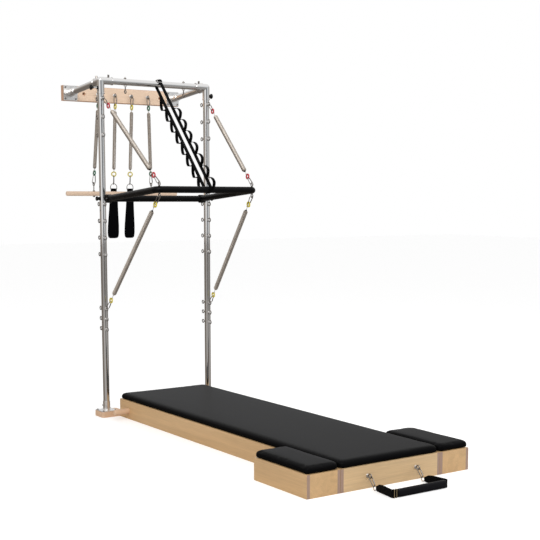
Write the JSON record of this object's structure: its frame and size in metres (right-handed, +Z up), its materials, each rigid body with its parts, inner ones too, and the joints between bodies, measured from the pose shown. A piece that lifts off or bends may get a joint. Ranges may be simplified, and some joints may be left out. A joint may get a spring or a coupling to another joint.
{
  "type": "pilates tower with raised mat",
  "caption": "Wall-fixed pilates tower over a raised padded mat, with a sprung push-through bar, roll-down bar, hand loops and foot strap.",
  "frame": {"origin": "on the floor under the middle of the mat's long box", "axes": "+X to the user's right when looking from the foot end to the wall, +Y from the foot end to the wall, +Z up"},
  "size_m": [1.074, 3.19, 2.2433],
  "materials": {
    "maple": "clear satin lacquer on blonde plywood and solid maple",
    "dowel": "clear satin lacquer",
    "black_vinyl": "fine-grained black upholstery vinyl",
    "chrome": "bright polished plating on steel tube",
    "steel_fitting": "satin cast steel pipe fittings and plates",
    "black_tube": "gloss black powder coat on steel tube",
    "pivot_block": "black moulded nylon",
    "black_knob": "black moulded plastic with steel pin",
    "zinc_hardware": "bright zinc plated steel",
    "dark_screw": "dark steel screws",
    "spring_wire": "bright nickel plated close-wound spring wire",
    "red_ring": "red coated steel ring with plated snap hook",
    "yellow_ring": "yellow coated steel ring with plated snap hook",
    "green_ring": "green coated steel ring with plated snap hook",
    "webbing": "black woven webbing with pale stitching",
    "padding": "black padded fabric"
  },
  "bodies": {
    "tower_and_mat": {"mat_side_panels": "maple", "mat_end_panels": "maple", "mat_ribs": "maple", "mat_decks": "maple", "mat_pad": "black_vinyl", "wing_panels": "maple", "wing_bolts": "zinc_hardware", "left_wing_pad": "black_vinyl", "right_wing_pad": "black_vinyl", "hand_peg": "dowel", "front_eyebolts": "zinc_hardware", "left_upright": "chrome", "right_upright": "chrome", "top_bar": "chrome", "side_arms": "chrome", "left_corner_elbow": "chrome", "right_corner_elbow": "chrome", "set_screws": "zinc_hardware", "foot_blocks": "maple", "foot_flanges": "steel_fitting", "flange_screws": "dark_screw", "wall_board": "maple", "wall_flanges": "steel_fitting", "left_upright_eyebolts": "zinc_hardware", "right_upright_eyebolts": "zinc_hardware", "top_bar_eyebolts": "zinc_hardware", "wall_eyebolts": "zinc_hardware", "upper_spring_post_links": "red_ring", "left_upper_spring": "spring_wire", "right_upper_spring": "spring_wire", "safety_strap": "webbing", "loop_spring_wall_links": "yellow_ring", "left_loop_spring": "spring_wire", "right_loop_spring": "spring_wire"},
    "push_bar": {"push_bar_tube": "black_tube", "push_bar_rear_tube": "black_tube", "push_bar_pivot_blocks": "pivot_block", "push_bar_eyebolts": "zinc_hardware", "upper_spring_bar_hooks": "red_ring"},
    "lower_springs": {"lower_spring_post_links": "yellow_ring", "left_lower_spring": "spring_wire", "right_lower_spring": "spring_wire"},
    "lower_spring_rings": {"lower_spring_bar_rings": "yellow_ring"},
    "lower_spring_hooks": {"lower_spring_bar_hooks": "zinc_hardware"},
    "left_pivot_pin": {"left_pivot_pin": "black_knob"},
    "right_pivot_pin": {"right_pivot_pin": "black_knob"},
    "left_lock_pin": {"left_lock_pin": "black_knob"},
    "right_lock_pin": {"right_lock_pin": "black_knob"},
    "roll_springs": {"roll_spring_wall_links": "green_ring", "roll_bar_springs": "spring_wire"},
    "roll_down_bar": {"roll_down_bar": "dowel", "roll_bar_eyebolts": "zinc_hardware", "roll_spring_bar_links": "green_ring"},
    "left_hand_loop": {"left_hand_loop": "padding", "left_loop_link": "yellow_ring"},
    "right_hand_loop": {"right_hand_loop": "padding", "right_loop_link": "yellow_ring"},
    "foot_strap": {"foot_strap_hooks": "zinc_hardware", "foot_strap": "webbing", "foot_strap_sleeve": "padding"}
  },
  "joints": [
    {"name": "push_bar_pivot", "type": "hinge", "parent": "tower_and_mat", "child": "push_bar", "pos_m": [0, 1.26, 1.446], "axis": [-1, 0, 0], "range_deg": [0, 30], "deforming": ["left_upper_spring", "right_upper_spring", "safety_strap"]},
    {"name": "lower_spring_swing", "type": "hinge", "parent": "tower_and_mat", "child": "lower_springs", "pos_m": [0, 1.22194, 0.72445], "axis": [-1, 0, 0], "range_deg": [0, 14]},
    {"name": "lower_spring_stretch", "type": "slide", "parent": "lower_springs", "child": "lower_spring_rings", "axis": [0, -0.6436, 0.7653], "range_m": [0, 0.232], "deforming": ["left_lower_spring", "right_lower_spring"]},
    {"name": "lower_hook_swing", "type": "hinge", "parent": "push_bar", "child": "lower_spring_hooks", "pos_m": [0, 0.60206, 1.46155], "axis": [-1, 0, 0], "range_deg": [-16.2, 0]},
    {"name": "left_pivot_pin_pull", "type": "slide", "parent": "tower_and_mat", "child": "left_pivot_pin", "axis": [-1, 0, 0], "range_m": [0, 0.03]},
    {"name": "right_pivot_pin_pull", "type": "slide", "parent": "tower_and_mat", "child": "right_pivot_pin", "axis": [1, 0, 0], "range_m": [0, 0.03]},
    {"name": "left_lock_pin_pull", "type": "slide", "parent": "tower_and_mat", "child": "left_lock_pin", "axis": [-1, 0, 0], "range_m": [-0.026, 0]},
    {"name": "right_lock_pin_pull", "type": "slide", "parent": "tower_and_mat", "child": "right_lock_pin", "axis": [1, 0, 0], "range_m": [0, 0.026]},
    {"name": "roll_spring_swing", "type": "hinge", "parent": "tower_and_mat", "child": "roll_springs", "pos_m": [0, 1.716, 2.161], "axis": [-1, 0, 0], "range_deg": [0, 18]},
    {"name": "roll_bar_pull", "type": "slide", "parent": "roll_springs", "child": "roll_down_bar", "axis": [0, -0.065, -0.9979], "range_m": [0, 0.3], "stiffness_N_per_m": 200, "springref_m": -0.1, "deforming": ["roll_bar_springs"]},
    {"name": "left_loop_pull", "type": "slide", "parent": "tower_and_mat", "child": "left_hand_loop", "axis": [-0.0422, 0, -0.9991], "range_m": [0, 0.25], "stiffness_N_per_m": 120, "springref_m": -0.1, "deforming": ["left_loop_spring"]},
    {"name": "right_loop_pull", "type": "slide", "parent": "tower_and_mat", "child": "right_hand_loop", "axis": [-0.0422, 0, -0.9991], "range_m": [0, 0.25], "stiffness_N_per_m": 120, "springref_m": -0.1, "deforming": ["right_loop_spring"]},
    {"name": "foot_strap_swing", "type": "hinge", "parent": "tower_and_mat", "child": "foot_strap", "pos_m": [0, -1.21642, 0.06344], "axis": [-1, 0, 0], "range_deg": [0, 90]}
  ],
  "couplings": [
    {"joint": "lower_spring_swing", "follows": "push_bar_pivot", "ratio": 0.4605},
    {"joint": "lower_spring_stretch", "follows": "push_bar_pivot", "m_per_rad": 0.44232},
    {"joint": "lower_hook_swing", "follows": "push_bar_pivot", "ratio": -0.5395}
  ]
}
